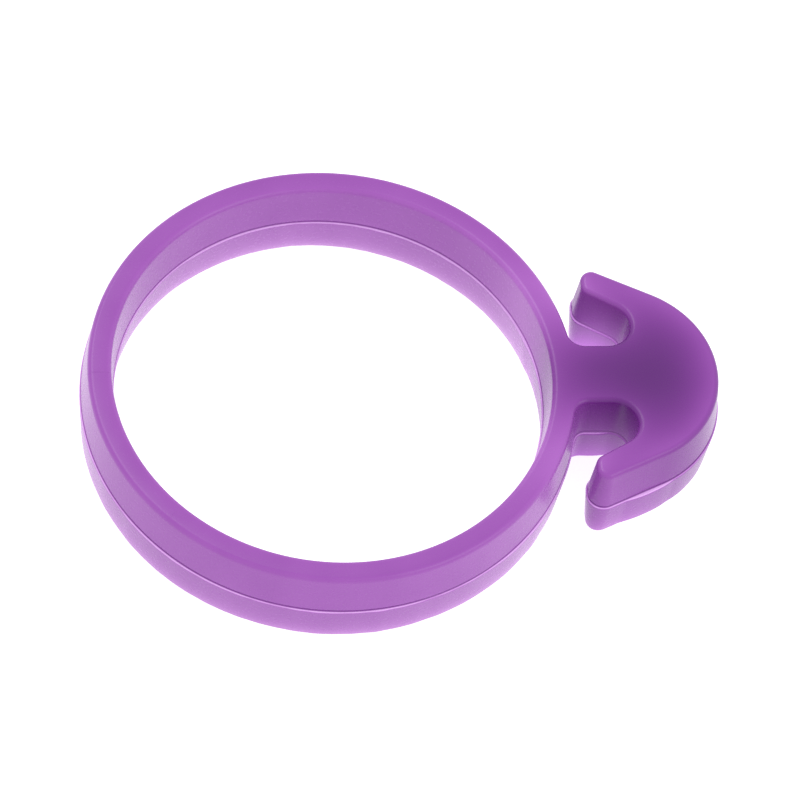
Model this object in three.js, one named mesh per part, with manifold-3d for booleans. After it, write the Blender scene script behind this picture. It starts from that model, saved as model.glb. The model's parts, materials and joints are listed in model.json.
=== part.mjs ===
// A one-piece elastomer leg band: a round loop for the leg, a short neck and an anchor head
// with two barbs. It is built as the zones that the moulding bends between, each its own mesh:
// loop segments, neck root, head core and two barbs. Millimetres, +Z up along the loop's axis,
// +X from the loop to the head. The band lies flat on its lower faces at z = 0.
import * as THREE from 'three';
import { mergeVertices } from 'three/addons/utils/BufferGeometryUtils.js';
import Module from 'manifold-3d';

const wasm = await Module();
wasm.setup();

// Driving dimensions. Plan sizes are at the parting line, where the walls stand widest.
const loopRadius = 13;
const wall = 1.7;
const height = 5.3;
const draft = 0.21; // each wall leans in by this much from the parting line to a face
const edgeRadius = 0.3;
const neckHalfWidth = 2.0;
const rootFillet = 0.7; // between the loop's outer wall and the neck
const slotEndRadius = 1.08;
const slotEndX = 15.65; // the inner end of each hook slot
const domeRadius = 5.8;
const domeX = 14.75;
const flankAngle = THREE.MathUtils.degToRad(25.9); // the head's outer flanks
const barbAngle = THREE.MathUtils.degToRad(30.3); // the barbs' inner faces
const tipX = 13.25;
const tipRadius = 0.8;

// The pivots that stand in for the bending of the elastomer.
const clearance = 0.3;
const loopPivotAngles = [22.5, 67.5, 112.5, 157.5]; // degrees from the head, on each side
const neckPivotX = 13.75;
const neckVee = THREE.MathUtils.degToRad(14); // how far each neck face leans away from the pivot
const barbPivot = new THREE.Vector2(15.63, 4.88);
const barbAxisAngle = THREE.MathUtils.degToRad(28);
const barbKnuckle = 0.95;

const innerRadius = loopRadius - wall;
const pivotRadius = (loopRadius + innerRadius) / 2;
const loopKnuckle = wall / 2;
const headReach = domeX + domeRadius;
const centreX = (headReach - loopRadius) / 2; // the middle of the whole length
const past = 3; // how far cutting prisms reach past the band

const arcStep = THREE.MathUtils.degToRad(9);

// Points on an arc, from one angle to another, in steps of about arcStep.
function arc(x, y, radius, from, to) {
  const steps = Math.max(2, Math.ceil(Math.abs(to - from) / arcStep));
  return Array.from({ length: steps + 1 }, (_, i) => {
    const angle = from + ((to - from) * i) / steps;
    return new THREE.Vector2(x + radius * Math.cos(angle), y + radius * Math.sin(angle));
  });
}

// The upper half of the band's outer outline, from the top of the dome to the far side of the
// loop: dome, flank, rounded barb tip, inner face, hook slot, neck side, root fillet, loop.
function halfOutline() {
  const slotX = slotEndX - slotEndRadius;
  const slotY = neckHalfWidth + slotEndRadius;
  const filletY = neckHalfWidth + rootFillet;
  const filletX = Math.sqrt((loopRadius + rootFillet) ** 2 - filletY ** 2);
  const filletAngle = Math.atan2(filletY, filletX);
  const flankNormal = Math.PI / 2 - flankAngle;
  const faceNormal = Math.PI / 2 - barbAngle;
  const tipCentreX = tipX + tipRadius;
  const flankStartX = domeX + domeRadius * Math.cos(flankNormal);
  const flankStartY = domeRadius * Math.sin(flankNormal);
  const outerY = flankStartY + (flankStartX - tipCentreX) * Math.tan(flankAngle)
    - tipRadius / Math.cos(flankAngle);
  const faceX = slotX + slotEndRadius * Math.cos(faceNormal);
  const faceY = slotY + slotEndRadius * Math.sin(faceNormal);
  const innerY = faceY + (faceX - tipCentreX) * Math.tan(barbAngle)
    + tipRadius / Math.cos(barbAngle);
  return [
    ...arc(domeX, 0, domeRadius, 0, flankNormal),
    ...arc(tipCentreX, outerY, tipRadius, flankNormal, Math.PI),
    ...arc(tipCentreX, innerY, tipRadius, Math.PI, Math.PI + faceNormal),
    ...arc(slotX, slotY, slotEndRadius, faceNormal, -Math.PI / 2),
    ...arc(filletX, filletY, rootFillet, -Math.PI / 2, filletAngle - Math.PI),
    ...arc(0, 0, loopRadius, filletAngle, Math.PI).slice(1),
  ];
}

// A half outline and its mirror image, as one closed loop of points.
function mirrored(half) {
  const lower = half.slice(1, -1).reverse().map((p) => new THREE.Vector2(p.x, -p.y));
  return [...half, ...lower];
}

// A closed outline moved towards its material by a distance, corner by corner.
function inset(points, distance) {
  return points.map((point, i) => {
    const before = points[(i + points.length - 1) % points.length];
    const after = points[(i + 1) % points.length];
    const a = point.clone().sub(before).normalize();
    const b = after.clone().sub(point).normalize();
    const normal = new THREE.Vector2(-a.y - b.y, a.x + b.x).normalize();
    return point.clone().addScaledVector(normal, distance / (a.dot(b) * 0.5 + 0.5) ** 0.5);
  });
}

// The moulding's section as [height above the middle, inset]: drafted walls, rounded edges.
const half = height / 2;
const edgeTurn = Math.PI / 4;
const sectionLevels = [
  [-half, draft + edgeRadius],
  [-half + edgeRadius * (1 - Math.sin(edgeTurn)), draft + edgeRadius * (1 - Math.cos(edgeTurn))],
  [-half + edgeRadius, draft],
  [0, 0],
  [half - edgeRadius, draft],
  [half - edgeRadius * (1 - Math.sin(edgeTurn)), draft + edgeRadius * (1 - Math.cos(edgeTurn))],
  [half, draft + edgeRadius],
];

// The section carried round an outer outline and a hole, closed by flat faces top and bottom.
function mouldedSolid(outer, hole) {
  const positions = [];
  const indices = [];
  const perLevel = outer.length + hole.length;
  for (const [z, distance] of sectionLevels) {
    for (const p of [...inset(outer, distance), ...inset(hole, distance)]) {
      positions.push(p.x, p.y, z + half);
    }
  }
  const wallBand = (first, count) => {
    for (let level = 0; level < sectionLevels.length - 1; level += 1) {
      for (let i = 0; i < count; i += 1) {
        const a = level * perLevel + first + i;
        const b = level * perLevel + first + ((i + 1) % count);
        indices.push(a, b, b + perLevel, a, b + perLevel, a + perLevel);
      }
    }
  };
  wallBand(0, outer.length);
  wallBand(outer.length, hole.length);
  const rim = draft + edgeRadius;
  const faces = THREE.ShapeUtils.triangulateShape(inset(outer, rim), [inset(hole, rim)]);
  const top = (sectionLevels.length - 1) * perLevel;
  for (const [a, b, c] of faces) {
    indices.push(top + a, top + b, top + c, a, c, b);
  }
  const geometry = new THREE.BufferGeometry();
  geometry.setAttribute('position', new THREE.Float32BufferAttribute(positions, 3));
  geometry.setIndex(indices);
  return geometry;
}

function toSolid(geometry) {
  const bare = geometry.clone();
  bare.deleteAttribute('normal');
  bare.deleteAttribute('uv');
  const merged = mergeVertices(bare, 1e-4);
  return new wasm.Manifold(new wasm.Mesh({
    numProp: 3,
    vertProperties: Float32Array.from(merged.attributes.position.array),
    triVerts: Uint32Array.from(merged.index.array),
  }));
}

function toGeometry(solid) {
  const mesh = solid.getMesh();
  const geometry = new THREE.BufferGeometry();
  geometry.setAttribute('position', new THREE.BufferAttribute(mesh.vertProperties, 3));
  geometry.setIndex(new THREE.BufferAttribute(mesh.triVerts, 1));
  geometry.computeVertexNormals();
  return geometry;
}

// A cutting prism that stands along Z, taller than the band, over a closed plan outline.
function standingPrism(points) {
  const geometry = new THREE.ExtrudeGeometry(new THREE.Shape(points), {
    depth: height + 2 * past,
    bevelEnabled: false,
  });
  return toSolid(geometry.translate(0, 0, -past));
}

function disc(x, y, radius) {
  return standingPrism(arc(x, y, radius, 0, 2 * Math.PI).slice(0, -1));
}

function polar(radius, degrees) {
  const angle = THREE.MathUtils.degToRad(degrees);
  return new THREE.Vector2(radius * Math.cos(angle), radius * Math.sin(angle));
}

// A wedge of the plane about the loop's centre, between two angles in degrees, out to a radius.
function sector(from, to, reach) {
  const rim = arc(0, 0, reach, THREE.MathUtils.degToRad(from), THREE.MathUtils.degToRad(to));
  return standingPrism([new THREE.Vector2(0, 0), ...rim]);
}

// Everything on one side of the neck pivot: side 1 is the head's side, -1 the loop's. The face
// leans away from the pivot above and below it, so that the head can tilt both ways.
function neckSide(side) {
  const tall = half + past;
  const face = neckPivotX + (side * clearance) / 2;
  const lean = side * tall * Math.tan(neckVee);
  const far = neckPivotX + side * (headReach + loopRadius);
  const profile = new THREE.Shape([
    new THREE.Vector2(face + lean, tall),
    new THREE.Vector2(face, 0),
    new THREE.Vector2(face + lean, -tall),
    new THREE.Vector2(far, -tall),
    new THREE.Vector2(far, tall),
  ]);
  const width = 2 * (loopRadius + past);
  const geometry = new THREE.ExtrudeGeometry(profile, { depth: width, bevelEnabled: false });
  geometry.translate(0, 0, -width / 2).rotateX(Math.PI / 2).translate(0, 0, half);
  return toSolid(geometry);
}

// The plan region of one barb past its pivot, on the side that sign gives.
function barbRegion(sign) {
  const along = new THREE.Vector2(-Math.cos(barbAxisAngle), Math.sin(barbAxisAngle));
  const across = new THREE.Vector2(Math.sin(barbAxisAngle), Math.cos(barbAxisAngle));
  const slotSide = 1.5;
  const outside = 2.5;
  const beyondTip = 5;
  const corners = [
    barbPivot.clone().addScaledVector(across, -slotSide),
    barbPivot.clone().addScaledVector(across, outside),
    barbPivot.clone().addScaledVector(across, outside).addScaledVector(along, beyondTip),
    new THREE.Vector2(tipX - 0.4, 5.6),
  ];
  return standingPrism(corners.map((p) => new THREE.Vector2(p.x, sign * p.y)));
}

const holePoints = arc(0, 0, innerRadius, 0, -2 * Math.PI).slice(0, -1);
const moulding = toSolid(mouldedSolid(mirrored(halfOutline()), holePoints));

// One stretch of the loop between two pivots, on the side that sign gives. It starts with a
// hollow about its own pivot and ends with the round knuckle that the next stretch turns on.
function loopSegment(index, sign) {
  const start = loopPivotAngles[index];
  const last = index === loopPivotAngles.length - 1;
  const halfGap = THREE.MathUtils.radToDeg(clearance / 2 / pivotRadius);
  const end = last ? 180 - halfGap : loopPivotAngles[index + 1];
  const pivot = polar(pivotRadius, sign * start);
  let region = sector(sign * start, sign * end, loopRadius + clearance);
  region = region.subtract(disc(pivot.x, pivot.y, loopKnuckle + clearance));
  if (!last) {
    const next = polar(pivotRadius, sign * end);
    region = region.add(disc(next.x, next.y, loopKnuckle));
  }
  return moulding.intersect(region);
}

// The arc of the loop between the first two pivots, with the neck's inner half on it.
function neckRoot() {
  let region = sector(-loopPivotAngles[0], loopPivotAngles[0], loopRadius + past);
  for (const sign of [1, -1]) {
    const knuckle = polar(pivotRadius, sign * loopPivotAngles[0]);
    region = region.add(disc(knuckle.x, knuckle.y, loopKnuckle));
  }
  return moulding.intersect(region).intersect(neckSide(-1))
    .subtract(barbRegion(1)).subtract(barbRegion(-1));
}

function headCore() {
  let core = moulding.intersect(neckSide(1));
  for (const sign of [1, -1]) {
    core = core.subtract(barbRegion(sign));
    core = core.subtract(disc(barbPivot.x, sign * barbPivot.y, barbKnuckle + clearance));
  }
  return core;
}

function barb(sign) {
  const knuckle = disc(barbPivot.x, sign * barbPivot.y, barbKnuckle);
  return moulding.intersect(barbRegion(sign).add(knuckle));
}

// Colours: the thin loop lets light through and looks paler than the thick head.
const colours = {
  loop: 0xa569bc,
  root: 0x8f50a8,
  head: 0x6f3a86,
  barb: 0x8a4aa2,
};

const band = new THREE.Group();

function place(name, solid, colour) {
  const material = new THREE.MeshStandardMaterial({ color: colour, roughness: 0.42, metalness: 0 });
  const mesh = new THREE.Mesh(toGeometry(solid), material);
  mesh.name = name;
  band.add(mesh);
}

place('neck_root', neckRoot(), colours.root);
place('head_core', headCore(), colours.head);
for (const [side, sign] of [['left', 1], ['right', -1]]) {
  place(`barb_${side}`, barb(sign), colours.barb);
  loopPivotAngles.forEach((_, index) => {
    place(`loop_${side}_${index + 1}`, loopSegment(index, sign), colours.loop);
  });
}
band.position.x = -centreX;

export default band;
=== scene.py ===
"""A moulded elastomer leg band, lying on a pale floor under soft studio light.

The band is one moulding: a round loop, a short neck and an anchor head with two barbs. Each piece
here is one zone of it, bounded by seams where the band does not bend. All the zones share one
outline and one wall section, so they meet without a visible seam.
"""
import json
import math

import bpy
import numpy as np
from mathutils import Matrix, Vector
from mathutils.geometry import delaunay_2d_cdt

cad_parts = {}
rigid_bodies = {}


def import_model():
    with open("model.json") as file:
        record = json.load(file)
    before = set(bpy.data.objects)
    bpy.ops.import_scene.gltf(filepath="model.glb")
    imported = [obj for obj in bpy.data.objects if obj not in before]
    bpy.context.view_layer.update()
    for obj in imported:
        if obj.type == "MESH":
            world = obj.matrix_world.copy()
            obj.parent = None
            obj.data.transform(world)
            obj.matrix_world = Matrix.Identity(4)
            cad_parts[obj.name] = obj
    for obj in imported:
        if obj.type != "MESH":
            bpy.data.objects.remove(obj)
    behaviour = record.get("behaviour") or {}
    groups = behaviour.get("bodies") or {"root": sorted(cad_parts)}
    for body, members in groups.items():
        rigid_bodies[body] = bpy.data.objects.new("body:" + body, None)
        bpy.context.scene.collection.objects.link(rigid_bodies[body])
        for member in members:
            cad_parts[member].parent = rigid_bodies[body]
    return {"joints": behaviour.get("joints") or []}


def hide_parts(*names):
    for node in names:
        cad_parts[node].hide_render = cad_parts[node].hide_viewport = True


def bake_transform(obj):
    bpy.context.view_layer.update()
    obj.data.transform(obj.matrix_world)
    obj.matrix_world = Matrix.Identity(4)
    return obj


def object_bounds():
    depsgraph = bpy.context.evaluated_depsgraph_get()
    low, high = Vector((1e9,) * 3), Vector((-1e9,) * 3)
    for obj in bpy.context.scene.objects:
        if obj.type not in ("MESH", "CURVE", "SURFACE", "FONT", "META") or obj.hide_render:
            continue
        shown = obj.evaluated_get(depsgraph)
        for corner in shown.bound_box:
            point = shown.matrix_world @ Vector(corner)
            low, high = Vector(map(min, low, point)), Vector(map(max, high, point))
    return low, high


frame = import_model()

CAD_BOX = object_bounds()
MM = 0.001

# The driving dimensions. The first four come from the frame, and plan sizes are at the parting
# line, where the walls stand widest.
LOW, HIGH = CAD_BOX
LOOP_RADIUS = (HIGH.y - LOW.y) / 2
LOOP_X = LOW.x + LOOP_RADIUS
HEIGHT = HIGH.z - LOW.z
HEAD_END = HIGH.x
WALL = 1.7 * MM
DRAFT = 0.21 * MM
EDGE_RADIUS = 0.3 * MM
NECK_HALF = 2.0 * MM
ROOT_FILLET = 0.7 * MM
SLOT_RADIUS = 1.08 * MM
SLOT_X = LOOP_X + 14.57 * MM
DOME_RADIUS = 5.8 * MM
DOME_X = HEAD_END - DOME_RADIUS
FLANK_LEAN = math.radians(25.9)
BARB_LEAN = math.radians(30.3)
TIP_X = LOOP_X + 13.25 * MM
TIP_RADIUS = 0.8 * MM
INNER_RADIUS = LOOP_RADIUS - WALL
ROOT_SEAM = math.radians(18)  # where the head's piece meets the loop's first stretches
FAR_SEAM = math.radians(179.99)  # the two last stretches end a hair short of each other

COLUMN_STEP = 0.14 * MM  # between the columns of points along the walls
ARC_STEP = math.radians(3)
NEAR_SHARE = 0.04  # of a step, from a seam to the close neighbour of its column


# ---------------------------------------------------------------- outlines

def arc(x, y, radius, start, end, convex=True):
    """Points on a circle from one angle to another, with the wall's outward directions."""
    turn = end - start
    steps = max(abs(turn) * radius / COLUMN_STEP, abs(turn) / ARC_STEP, 2)
    angle = np.linspace(start, end, math.ceil(steps) + 1)
    out = np.stack([np.cos(angle), np.sin(angle)], 1)
    return np.array([x, y]) + radius * out, out if convex else -out


def straight(start, end, out):
    """Points between two ends of a flat wall that faces one way."""
    steps = max(2, math.ceil(np.linalg.norm(end - start) / COLUMN_STEP))
    share = np.linspace(0, 1, steps + 1)[:, None]
    return start + (end - start) * share, np.tile(out, (steps + 1, 1))


def path(*parts):
    """Arcs and flats one after another as one smooth path. Shared ends are kept once, and the
    first and last columns get a close neighbour, which keeps shading true up to a seam."""
    points, outs = parts[0]
    for more_points, more_outs in parts[1:]:
        points = np.concatenate([points, more_points[1:]])
        outs = np.concatenate([outs, more_outs[1:]])
    far = 1 - NEAR_SHARE
    for at, end, inner in ((1, 0, 1), (len(points), -1, -2)):
        points = np.insert(points, at, points[end] * far + points[inner] * NEAR_SHARE, 0)
        outs = np.insert(outs, at, outs[end] * far + outs[inner] * NEAR_SHARE, 0)
    return points, outs / np.linalg.norm(outs, axis=1, keepdims=True)


def mirror(one):
    """The same path on the other side of the band, run the other way."""
    points, outs = one
    flip = np.array([1, -1])
    return points[::-1] * flip, outs[::-1] * flip


def direction(angle):
    """A step of length 1 at an angle from the band's long axis."""
    return np.array([math.cos(angle), math.sin(angle)])


SLOT_Y = NECK_HALF + SLOT_RADIUS
FILLET_Y = NECK_HALF + ROOT_FILLET
FILLET_REACH = math.sqrt((LOOP_RADIUS + ROOT_FILLET) ** 2 - FILLET_Y ** 2)
FILLET_X = LOOP_X + FILLET_REACH
FILLET_ANGLE = math.atan2(FILLET_Y, FILLET_REACH)
FLANK_OUT = math.pi / 2 - FLANK_LEAN
FACE_OUT = 1.5 * math.pi - BARB_LEAN
TIP_CENTRE_X = TIP_X + TIP_RADIUS
FLANK_START = np.array([DOME_X, 0]) + DOME_RADIUS * direction(FLANK_OUT)
FACE_START = np.array([SLOT_X, SLOT_Y]) - SLOT_RADIUS * direction(FACE_OUT)
# The seam at a barb's root runs straight across from the inner face to the flank.
ACROSS = -direction(FACE_OUT)
FLANK_ALONG = np.array([-math.cos(FLANK_LEAN), math.sin(FLANK_LEAN)])
SEAM_WIDTH = np.linalg.solve(
    np.stack([ACROSS, -FLANK_ALONG], 1), FLANK_START - FACE_START)[0]
FLANK_SEAM = FACE_START + ACROSS * SEAM_WIDTH


def dome():
    """The head's round end and the flanks beside it, between the two barb seams."""
    flank = straight(FLANK_START, FLANK_SEAM, direction(FLANK_OUT))
    end = arc(DOME_X, 0, DOME_RADIUS, -FLANK_OUT, FLANK_OUT)
    return path(mirror(flank), end, flank)


def barb_edge():
    """Round the left barb: flank, rounded tip and inner face, from seam to seam."""
    tip_outer = FLANK_START[1] + (FLANK_START[0] - TIP_CENTRE_X) * math.tan(FLANK_LEAN)
    tip_outer -= TIP_RADIUS / math.cos(FLANK_LEAN)
    tip_inner = FACE_START[1] + (FACE_START[0] - TIP_CENTRE_X) * math.tan(BARB_LEAN)
    tip_inner += TIP_RADIUS / math.cos(BARB_LEAN)
    first = arc(TIP_CENTRE_X, tip_outer, TIP_RADIUS, FLANK_OUT, math.pi)
    second = arc(TIP_CENTRE_X, tip_inner, TIP_RADIUS, math.pi, FACE_OUT)
    return path(
        straight(FLANK_SEAM, first[0][0], direction(FLANK_OUT)),
        first,
        straight(first[0][-1], second[0][0], direction(math.pi)),
        second,
        straight(second[0][-1], FACE_START, direction(FACE_OUT)),
    )


def neck_side():
    """From the left barb's seam round the slot's end, along the neck and into the loop."""
    slot = arc(SLOT_X, SLOT_Y, SLOT_RADIUS, FACE_OUT - math.pi, -math.pi / 2, convex=False)
    fillet = arc(
        FILLET_X, FILLET_Y, ROOT_FILLET, -math.pi / 2, FILLET_ANGLE - math.pi, convex=False)
    return path(
        slot,
        straight(slot[0][-1], fillet[0][0], direction(math.pi / 2)),
        fillet,
        arc(LOOP_X, 0, LOOP_RADIUS, FILLET_ANGLE, ROOT_SEAM),
    )


def loop_wall(start, end, radius):
    """A stretch of the loop's outer wall, or of its inner wall run backwards."""
    if radius == INNER_RADIUS:
        return path(arc(LOOP_X, 0, radius, end, start, convex=False))
    return path(arc(LOOP_X, 0, radius, start, end))


# ---------------------------------------------------------------- the wall's section

HALF = HEIGHT / 2
EDGE_TURN = np.radians(np.linspace(0, 90, 9))
# Heights of the points by the parting line, measured from it.
LINE_STEPS = np.array([-0.45, -0.3, -0.2, -0.15, -0.11, -0.085, -0.06, -0.035, -0.015, 0,
                       0.02, 0.04, 0.06, 0.09, 0.14, 0.25, 0.45]) * MM
LINE_BAND = 0.6 * MM  # above and below the line, where only those steps have points
SHOULDER = 0.11 * MM  # height of the round shoulder of the lower half's ledge
GROOVE_WIDTH = 0.04 * MM
GROOVE_DEPTH = 0.06 * MM


def wall_section():
    """Heights and insets from the lower face to the upper one: a quarter round, a drafted wall
    out to the parting line, and the same again. The third row is how far a point faces out."""
    round_z = EDGE_RADIUS * (1 - np.cos(EDGE_TURN))
    round_inset = DRAFT + EDGE_RADIUS * (1 - np.sin(EDGE_TURN))
    flat_z = np.linspace(EDGE_RADIUS, HALF - LINE_BAND, 8)[1:]
    wall_z = np.concatenate([flat_z, HALF + LINE_STEPS, HEIGHT - flat_z[::-1]])
    wall_inset = DRAFT * abs(wall_z - HALF) / (HALF - EDGE_RADIUS)
    return (
        np.concatenate([round_z, wall_z, HEIGHT - round_z[::-1]]),
        np.concatenate([round_inset, wall_inset, round_inset[::-1]]),
        np.concatenate([np.sin(EDGE_TURN), np.ones(len(wall_z)), np.sin(EDGE_TURN)[::-1]]),
    )


SECTION_Z, SECTION_INSET, SECTION_FACING = wall_section()
# The lower half stands proud of the upper one, up to a quarter round shoulder at the line.
LEDGE_SHARE = np.sqrt(1 - np.clip((SECTION_Z - HALF) / SHOULDER + 1, 0, 1) ** 2)
GROOVE_SHARE = np.exp(-(((SECTION_Z - HALF) / GROOVE_WIDTH - 1) ** 2))


def ripple(points, scale, seed):
    """A smooth, uneven number from -1 to 1 at each place: four waves of odd lengths, summed."""
    turns = np.random.default_rng(seed).uniform(0, 2 * math.pi, (4, 2))
    total = 0
    for number, (heading, phase) in enumerate(turns):
        wave = points @ direction(heading) / (scale * (0.7 + 0.37 * number))
        total = total + np.sin(2 * math.pi * wave + phase)
    return total / 4


LEDGE_WIDTH = 0.075 * MM
WANDER = 0.022 * MM  # slow and quick unevenness of the ledge
JITTER = 0.012 * MM
SCRAP_WIDTH = 0.1 * MM
SCRAP_START = 0.45  # of the ripple's height, above which a scrap stands out
SCAR_WIDTH = 0.11 * MM
SCAR_LENGTH = 1.5 * MM
SCAR_PLACE = np.array([LOOP_X + 16.5 * MM, -5.4 * MM])  # where the moulding was cut from its gate


def ledge_width(points):
    """How far the lower half stands proud at each place: a fine uneven ledge with a few wider
    scraps, and one long scar on the head's right flank."""
    uneven = WANDER * ripple(points, 5.3 * MM, 3) + JITTER * ripple(points, 1.4 * MM, 4)
    scraps = SCRAP_WIDTH * np.clip(ripple(points, 3.1 * MM, 5) - SCRAP_START, 0, 1)
    away = np.linalg.norm(points - SCAR_PLACE, axis=1) / SCAR_LENGTH
    scar = SCAR_WIDTH * np.clip(1 - away ** 2, 0, 1)
    return LEDGE_WIDTH + uneven + scraps + scar


def wall_points(walls):
    """Every wall point of some paths, as columns by levels: the path point, moved in by the
    section's inset and the parting line's groove, and out by the lower half's ledge."""
    points, outs = walls
    inset = SECTION_INSET + GROOVE_DEPTH * GROOVE_SHARE
    inset = inset[None, :] - ledge_width(points)[:, None] * LEDGE_SHARE[None, :]
    plan = points[:, None, :] - outs[:, None, :] * inset[:, :, None]
    height = np.broadcast_to(SECTION_Z[None, :, None], (*inset.shape, 1))
    return np.concatenate([plan, height], 2)


# ---------------------------------------------------------------- painted light inside the material

# Sizes of the painted light and painted shade in the band's base colour, and of the painted glow
# that its emission shows in the hook slots.
GLOW_LENGTH = 1.5 * MM  # over which light through a wall dies away
GLOW_DEPTH = 0.9 * MM  # how far in from a wall its own light is taken
# painted floor light, which makes the lower edges paler
FLOOR_GLOW = 0.31
FLOOR_LENGTH = 0.8 * MM
# painted light on the loop's walls, more of it on the inner wall
LOOP_GLOW = 0.05
HOLLOW_GLOW = 0.055
LOW_SHARE = 0.7  # more of it below the parting line
# painted highlight on the round shoulder of the ledge, as wide as the ledge
LEDGE_GLOW = 0.55
LEDGE_FULL = 0.1 * MM  # the ledge's width that has the whole of it
# painted shade in the parting line's groove
GROOVE_SHADE = 0.2
# painted glow: the band's own emission, strongest low down by the hook slots
SLOT_GLOW = 0.95
SLOT_FALL = 1.25  # how fast it fades towards the upper face
# painted shade around the hook slots and painted light at the head's round end, through the weights
# of the outline
SLOT_SHADE = 0.75
END_GAIN = 0.5
SLOT_REACH = 2.0 * MM
SLOT_MIDDLE = np.array([SLOT_X - 0.2 * MM, SLOT_Y + 0.2 * MM])
GLOW_ROWS = 4000  # points worked out at a time


def slot_share(points):
    """1 in the middle of the two hook slots, falling off to 0 around them."""
    left = np.column_stack([points[:, 0], abs(points[:, 1])])
    away = np.linalg.norm(left - SLOT_MIDDLE, axis=1) / SLOT_REACH
    return np.exp(-(away ** 2))


def whole_outline():
    """Points along every wall of the band, with the length of wall that each stands for in the
    painted light. The walls of the narrow slots let in less light, so they count for less than
    their length, which paints shade around the slots, and the head's round end, which stands free,
    counts for more, which paints the head's end lighter."""
    barb = barb_edge()
    neck = neck_side()
    loop = loop_wall(ROOT_SEAM, 2 * math.pi - ROOT_SEAM, LOOP_RADIUS)
    inner = loop_wall(0, 2 * math.pi, INNER_RADIUS)
    found = []
    for points, _ in (dome(), barb, mirror(barb), neck, mirror(neck), loop, inner):
        middle = (points[1:] + points[:-1]) / 2
        length = np.linalg.norm(points[1:] - points[:-1], axis=1)
        free = np.clip((middle[:, 0] - SLOT_X) / DOME_RADIUS * 2, 0, 1)
        length = length * (1 - SLOT_SHADE * slot_share(middle) + END_GAIN * free)
        found.append(np.concatenate([middle, length[:, None]], 1))
    return np.concatenate(found)


OUTLINE = whole_outline()


def loop_glow(points):
    """Painted light, in the base colour, that stands for what the loop's walls catch from the pale
    surface inside it and around it.
    """
    radius = np.linalg.norm(points - np.array([LOOP_X, 0]), axis=1)
    near = np.clip((LOOP_RADIUS - radius) / MM + 1, 0, 1)
    within = radius < LOOP_RADIUS - WALL / 2
    low = np.clip(0.5 - (SECTION_Z - HALF) / MM, 0, 1)
    hollow = within[:, None] * HOLLOW_GLOW * (1 + LOW_SHARE * low[None, :])
    return near[:, None] * (LOOP_GLOW + hollow)


def side_glow(plan):
    """How much painted light reaches a place through the walls, for the base colour: the sum over
    the band's whole outline of the wall's length times a falloff, exp(-distance / glow length),
    over two glow lengths."""
    total = np.zeros(len(plan))
    for rows in np.array_split(np.arange(len(plan)), len(plan) // GLOW_ROWS + 1):
        away = np.linalg.norm(plan[rows, None, :] - OUTLINE[None, :, :2], axis=2)
        total[rows] = np.exp(-away / GLOW_LENGTH) @ OUTLINE[:, 2]
    return total / (2 * GLOW_LENGTH)


def floor_glow(height):
    """Painted light that comes up from a pale surface into the lower edges, falling off with
    height, so the lower edges are painted paler.
    """
    return FLOOR_GLOW * np.exp(-height / FLOOR_LENGTH)


def wall_glow(walls):
    """The painted light inside at each wall point, for the base colour: through the walls as it is
    a little way in, from below, more of it in the thin ledge as a painted highlight and less of it
    in the groove as painted shade. The second answer is a painted glow for the band's emission,
    which stands in for light that passes through the band into its hook slots, most of it low down."""
    points, outs = walls
    sunk = wall_points(walls)[:, :, :2]
    sunk = sunk - outs[:, None, :] * GLOW_DEPTH * SECTION_FACING[None, :, None]
    side = side_glow(sunk.reshape(-1, 2)).reshape(sunk.shape[:2])
    shoulder = LEDGE_SHARE * (1 - LEDGE_SHARE) * 4
    ledge = LEDGE_GLOW * ledge_width(points)[:, None] / LEDGE_FULL * shoulder[None, :]
    # painted light for the base colour, with a painted highlight on the ledge and painted shade in
    # the groove
    light = side / 2 + floor_glow(SECTION_Z) + ledge - GROOVE_SHADE * GROOVE_SHARE
    low = np.maximum(1 - SECTION_Z / HEIGHT, 0) ** SLOT_FALL * SECTION_FACING
    # painted glow for the band's emission, by the hook slots
    painted_glow = SLOT_GLOW * slot_share(points)[:, None] * low * side
    return (light + loop_glow(points) * SECTION_FACING).ravel(), painted_glow.ravel()


def face_glow(places):
    """The painted light inside at points of the lower or upper face, for the base colour."""
    return side_glow(places[:, :2]) / 2 + floor_glow(places[:, 2])


# ---------------------------------------------------------------- pieces

def inside(points, ring):
    """Which points lie in a closed outline: an odd number of edges cross a ray from the point."""
    a, b = ring, np.roll(ring, -1, 0)
    x, y = points[:, :1], points[:, 1:]
    spans = (a[:, 1] > y) != (b[:, 1] > y)
    rise = np.where(b[:, 1] == a[:, 1], 1, b[:, 1] - a[:, 1])
    cross = (b[:, 0] - a[:, 0]) * (y - a[:, 1]) / rise + a[:, 0]
    return (spans & (x < cross)).sum(1) % 2 == 1


FACE_STEP = 0.4 * MM
ROW_STEP = FACE_STEP * 0.87  # which makes the triangles even
RIM_GAP = FACE_STEP * 0.6  # that the points inside keep from the rim


def face_mesh(ring, guards):
    """A flat outline filled with even triangles: the points inside it, and all the triangles.
    guards are points close beside its seams, which keep the shading flat up to them."""
    low, high = ring.min(0), ring.max(0)
    x, y = np.meshgrid(
        np.arange(low[0], high[0], FACE_STEP), np.arange(low[1], high[1], ROW_STEP))
    x[::2] += FACE_STEP / 2
    extra = np.stack([x.ravel(), y.ravel()], 1)
    extra = extra[inside(extra, ring)]
    if len(extra):
        nearest = np.linalg.norm(extra[:, None] - ring[None], axis=2).min(1)
        extra = extra[nearest > RIM_GAP]
    extra = np.concatenate([guards, extra])
    points = np.concatenate([ring, extra]) / MM
    outline = list(range(len(ring)))
    _, _, faces, origins, _, _ = delaunay_2d_cdt(points.tolist(), [], [outline], 1, 1e-6)
    origin = np.array([ids[0] for ids in origins])
    return extra, origin[np.array(faces)]


SEAM_SHARES = np.linspace(0, 1, 7)[1:-1, None]  # of the way along a seam's two flat edges


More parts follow.
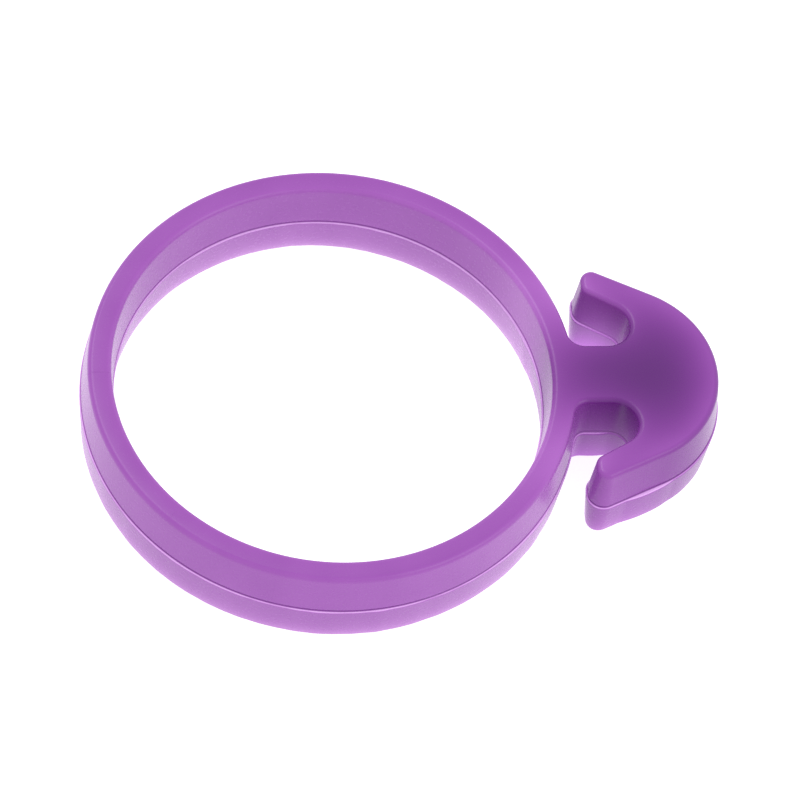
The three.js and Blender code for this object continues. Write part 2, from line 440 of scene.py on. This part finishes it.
def moulded_piece(name, walls):
    """One zone of the moulding. walls are its wall paths in order round it, anticlockwise, and a
    straight seam joins each to the next. The section is carried along every path, the two flat
    faces are filled between its edges, and each seam is closed by one flat face."""
    levels = len(SECTION_Z)
    ends = np.cumsum([len(points) for points, _ in walls])
    starts = ends - [len(points) for points, _ in walls]
    grid = np.concatenate([wall_points(one) for one in walls])
    light, painted_glow = (list(one) for one in zip(*(wall_glow(one) for one in walls)))
    vertices = [grid.reshape(-1, 3)]
    quads = []
    seams = []
    rims = {0: [], levels - 1: []}
    guards = []
    total = len(vertices[0])
    for start, end, after in zip(starts, ends, np.roll(starts, -1)):
        corner = (np.arange(start, end - 1)[:, None] * levels + np.arange(levels - 1)).ravel()
        quads.append(np.stack([corner, corner + levels, corner + levels + 1, corner + 1], 1))
        near = np.arange(levels) + (end - 1) * levels
        far = np.arange(levels) + after * levels
        between = {}
        for level in rims:
            line = grid[end - 1, level] * (1 - SEAM_SHARES) + grid[after, level] * SEAM_SHARES
            between[level] = np.arange(total, total + len(line))
            rims[level] += [*(np.arange(start, end) * levels + level), *between[level]]
            vertices.append(line)
            light.append(face_glow(line))
            total += len(line)
        inner_ends = grid[end - 2, -1, :2], grid[after + 1, -1, :2]
        guards.append(inner_ends[0] * (1 - SEAM_SHARES) + inner_ends[1] * SEAM_SHARES)
        over = between[levels - 1][::-1]
        seams.append([near[0], *between[0], *far, *over, *near[:0:-1]])
    faces = []
    rim = np.concatenate(vertices)[rims[levels - 1], :2]
    extra, triangles = face_mesh(rim, np.concatenate(guards))
    for level, height in ((0, 0), (levels - 1, HEIGHT)):
        filling = np.column_stack([extra, np.full(len(extra), height)])
        numbers = np.concatenate([rims[level], np.arange(total, total + len(extra))])
        faces.append(numbers[triangles] if level else numbers[triangles][:, ::-1])
        vertices.append(filling)
        light.append(face_glow(filling))
        total += len(extra)
    polygons = [face.tolist() for face in (*quads, *faces)]
    vertices = np.concatenate(vertices)
    mesh = bpy.data.meshes.new(name)
    mesh.from_pydata(vertices.tolist(), [], sum(polygons, [list(map(int, one)) for one in seams]))
    smooth = np.ones(len(mesh.polygons), bool)
    smooth[:len(seams)] = False
    mesh.polygons.foreach_set("use_smooth", smooth)
    # inner_light carries painted light and painted shade into the base colour.
    add_attribute(mesh, "inner_light", np.concatenate(light))
    # the painted glow that the band's emission shows in the hook slots
    painted_glow = np.concatenate(painted_glow)
    add_attribute(mesh, "painted_slot_glow", np.pad(painted_glow, (0, len(vertices) - len(painted_glow))))
    add_attribute(mesh, "rest_place", vertices)
    mesh.update()
    piece = bpy.data.objects.new(name, mesh)
    bpy.context.scene.collection.objects.link(piece)
    return piece


def add_attribute(mesh, name, values):
    """A number or a vector kept on each point of a mesh."""
    kind, field = ("FLOAT", "value") if values.ndim == 1 else ("FLOAT_VECTOR", "vector")
    attribute = mesh.attributes.new(name, kind, "POINT")
    attribute.data.foreach_set(field, values.astype(np.float32).ravel())


CLEAR = 0.05 * MM  # between a seam and the start of the bend
BARB_BEND = 2.0 * MM  # length of a barb that bends
JOINTS = {(joint["parent"], joint["child"]): joint for joint in frame["joints"]}


def finish_piece(piece, nodes, slot, material, parent, child, start, end):
    """Gives one piece its material, hides the imported parts that it stands for and bakes its
    transform.
    """
    piece.data.materials.append(material)
    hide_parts(*nodes)
    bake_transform(piece)


def make_head(material):
    """The neck root, neck and head without the barbs."""
    neck = neck_side()
    inner = loop_wall(-ROOT_SEAM, ROOT_SEAM, INNER_RADIUS)
    piece = moulded_piece("neck_and_head", [mirror(neck), dome(), neck, inner])
    bend_start = LOOP_X + LOOP_RADIUS * math.cos(ROOT_SEAM) + CLEAR
    finish_piece(
        piece, ["neck_root", "head_core"], "head", material, "neck_root", "head",
        (bend_start, 0, HALF), (FACE_START[0] - CLEAR, 0, HALF))


def make_barb(side, sign, material):
    """One barb, from its root seam to its tip."""
    edge = barb_edge()
    walls = [edge] if sign > 0 else [mirror(edge)]
    piece = moulded_piece(f"barb_{side}_skin", walls)
    pivot = Vector(JOINTS["head", f"barb_{side}"]["pos_m"])
    lean = (FLANK_LEAN + BARB_LEAN) / 2
    along = Vector((-math.cos(lean), sign * math.sin(lean), 0))
    finish_piece(
        piece, [f"barb_{side}"], "barb", material, "head", f"barb_{side}",
        pivot, pivot + along * BARB_BEND)


def make_loop(side, sign, material):
    """Four stretches of the loop on one side, each with one pivot inside it."""
    bounds = [ROOT_SEAM, *np.radians([45, 90, 135]), FAR_SEAM]
    before = "neck_root"
    for number in range(4):
        start, end = bounds[number] * sign, bounds[number + 1] * sign
        low, high = sorted((start, end))
        name = f"loop_{side}_{number + 1}"
        walls = [loop_wall(low, high, LOOP_RADIUS), loop_wall(low, high, INNER_RADIUS)]
        piece = moulded_piece(f"{name}_skin", walls)
        middle = (LOOP_RADIUS + INNER_RADIUS) / 2
        ends = [
            (LOOP_X + middle * math.cos(angle), middle * math.sin(angle), HALF)
            for angle in (start, end)]
        finish_piece(piece, [name], "loop", material, before, name, *ends)
        before = name


# ---------------------------------------------------------------- shader maths

class Socket:
    """A shader value that Python's operators work on by adding Math nodes."""

    def __init__(self, tree, output):
        self.tree = tree
        self.output = output

    def math(self, operation, *others):
        return self.tree.node("ShaderNodeMath", {"operation": operation}, self, *others)

    def __add__(self, other):
        return self.math("ADD", other)

    def __sub__(self, other):
        return self.math("SUBTRACT", other)

    def __rsub__(self, other):
        return self.tree.node("ShaderNodeMath", {"operation": "SUBTRACT"}, other, self)

    def __mul__(self, other):
        return self.math("MULTIPLY", other)

    __radd__ = __add__
    __rmul__ = __mul__


class Tree:
    """A material's node tree, built by one method."""

    def __init__(self, name):
        self.material = bpy.data.materials.new(name)
        self.material.use_nodes = True
        self.nodes = self.material.node_tree.nodes
        self.links = self.material.node_tree.links
        self.shader = self.nodes["Principled BSDF"]
        self.material.cycles.emission_sampling = "NONE"

    def node(self, kind, settings, *values, output=0, **named):
        """A node of a kind, with its settings made first and then its sockets' values or links,
        by place or by name. Gives back one of its outputs."""
        made = self.nodes.new(kind)
        for key, value in settings.items():
            setattr(made, key, value)
        for place, value in [*enumerate(values), *named.items()]:
            key = place if isinstance(place, int) else place.replace("_", " ")
            self.put(made.inputs[key], value)
        return Socket(self, made.outputs[output])

    def put(self, socket, value):
        if isinstance(value, Socket):
            self.links.new(value.output, socket)
        else:
            socket.default_value = value

    def feed(self, **sockets):
        for name, value in sockets.items():
            self.put(self.shader.inputs[name.replace("_", " ")], value)


def linear(red, green, blue):
    """A colour given as it looks on a screen, from 0 to 255, in the renderer's own scale."""
    share = np.array([red, green, blue]) / 255
    light = np.where(share <= 0.04045, share / 12.92, ((share + 0.055) / 1.055) ** 2.4)
    return (*light.tolist(), 1)


# ---------------------------------------------------------------- materials

CLOUDING = 0.056
GLOSS_ROUGHNESS = 0.27
ROUGHNESS_SPREAD = 0.04
FULL_GLOW = 1.2  # the light inside at which the material shows its palest tint
TINT = linear(197, 151, 209)[:3]
# How fast red, green and blue are lost as the light inside falls below that. Green goes first.
LOSS = (2.55, 4.6, 2.15)
# colour of the painted glow that the band's emission shows in the hook slots
PAINTED_GLOW_TINT = linear(186, 118, 206)[:3]  # of light that comes out into the hook slots


def colour_inside(tree, glow):
    """The base colour that the painted light inside gives the material, by the law of absorption in
    each channel: tint * exp(-loss * depth), where the depth is how far the painted glow is below
    full."""
    depth = (FULL_GLOW - glow).math("MAXIMUM", 0)
    channels = [tint * (depth * -loss).math("EXPONENT") for tint, loss in zip(TINT, LOSS)]
    return tree.node("ShaderNodeCombineColor", {}, *channels)


def elastomer():
    """Glossy elastomer, made to look translucent by painted light in its base colour. Where little
    painted light gets in it is dark, and thin parts and lower edges are painted paler, with a
    painted glow by emission by the hook slots, faint clouding and a slightly uneven gloss."""
    tree = Tree("purple_elastomer")
    inner = tree.node("ShaderNodeAttribute", {"attribute_name": "inner_light"}, output="Fac")
    painted_glow = tree.node("ShaderNodeAttribute", {"attribute_name": "painted_slot_glow"}, output="Fac")
    place = tree.node("ShaderNodeAttribute", {"attribute_name": "rest_place"}, output="Vector")
    cloud = tree.node("ShaderNodeTexNoise", {}, Vector=place, Scale=380, Detail=2, Roughness=0.4)
    fine = tree.node("ShaderNodeTexNoise", {}, Vector=place, Scale=4200, Detail=2, Roughness=0.6)
    waviness = tree.node("ShaderNodeBump", {}, Strength=0.05, Distance=0.05 * MM, Height=cloud)
    tree.feed(
        # base colour with painted light and painted shade from inner_light; the clouding is the
        # material's own uneven tone
        Base_Color=colour_inside(tree, inner + (cloud - 0.5) * CLOUDING),
        Roughness=GLOSS_ROUGHNESS + (fine - 0.5) * ROUGHNESS_SPREAD,
        Normal=waviness,
        IOR=1.32,
        # painted glow: an emission from the band's own surface by the hook slots
        Emission_Color=tree.node(
            "ShaderNodeVectorMath", {"operation": "SCALE"}, PAINTED_GLOW_TINT, Scale=painted_glow),
        Emission_Strength=1,
    )
    return tree.material


def floor_material():
    """A white sheet lit from below, so that nothing on it throws a shadow."""
    tree = Tree("pale_floor")
    tree.feed(Base_Color=linear(188, 188, 188), Roughness=0.7, Emission_Color=(1, 1, 1, 1),
              Emission_Strength=0.8)
    tree.shader.inputs["Specular IOR Level"].default_value = 0.2
    return tree.material


# ---------------------------------------------------------------- stage

TARGET = Vector(((LOW.x + HIGH.x) / 2, 0, HALF))
VIEW_AZIMUTH = math.radians(-11.7)
VIEW_ELEVATION = math.radians(56.4)
VIEW_DISTANCE = 30 * LOOP_RADIUS
VIEW_ROLL = math.radians(9.8)
FRAME_SHARE = 0.8  # of the frame's width that the band's length takes
FLOOR_HALF = 2.0  # metres from the middle to a side


def make_floor():
    """A wide level sheet under the band."""
    mesh = bpy.data.meshes.new("floor")
    corners = [(x * FLOOR_HALF, y * FLOOR_HALF, 0) for x, y in ((-1, -1), (1, -1), (1, 1), (-1, 1))]
    mesh.from_pydata(corners, [], [(0, 1, 2, 3)])
    mesh.materials.append(floor_material())
    floor = bpy.data.objects.new("floor", mesh)
    bpy.context.scene.collection.objects.link(floor)


def make_camera():
    """A long lens, turned about its own axis, that looks down at the band's middle."""
    data = bpy.data.cameras.new("camera")
    camera = bpy.data.objects.new("camera", data)
    bpy.context.scene.collection.objects.link(camera)
    flat = math.cos(VIEW_ELEVATION)
    back = Vector((math.sin(VIEW_AZIMUTH) * flat, -math.cos(VIEW_AZIMUTH) * flat,
                   math.sin(VIEW_ELEVATION)))
    camera.location = TARGET + back * VIEW_DISTANCE
    turn = (-back).to_track_quat("-Z", "Y").to_matrix()
    camera.rotation_euler = turn.to_euler()
    camera.rotation_euler.rotate_axis("Z", VIEW_ROLL)
    length = HIGH.x - LOW.x
    data.lens = data.sensor_width * FRAME_SHARE * VIEW_DISTANCE / length
    data.clip_start = VIEW_DISTANCE * 0.05
    data.clip_end = VIEW_DISTANCE * 20
    bpy.context.scene.camera = camera


def softbox(name, place, size, power):
    """A square area light that faces the band."""
    data = bpy.data.lights.new(name, "AREA")
    data.size = size
    data.energy = power
    light = bpy.data.objects.new(name, data)
    light.location = place
    light.rotation_euler = (TARGET - Vector(place)).to_track_quat("-Z", "Y").to_euler()
    bpy.context.scene.collection.objects.link(light)


def make_lights():
    """Two weak softboxes in an even white studio."""
    softbox("key", (-0.12, 0.18, 0.35), 0.22, 0.6)
    softbox("fill", (0.25, -0.2, 0.25), 0.25, 0.4)
    world = bpy.data.worlds.new("studio")
    world.use_nodes = True
    world.node_tree.nodes["Background"].inputs["Color"].default_value = (1, 1, 1, 1)
    world.node_tree.nodes["Background"].inputs["Strength"].default_value = 1.35
    bpy.context.scene.world = world
    bpy.context.scene.view_settings.view_transform = "Standard"


make_camera()
make_floor()
make_lights()
skin = elastomer()
make_head(skin)
for band_side, band_sign in (("left", 1), ("right", -1)):
    make_barb(band_side, band_sign, skin)
    make_loop(band_side, band_sign, skin)
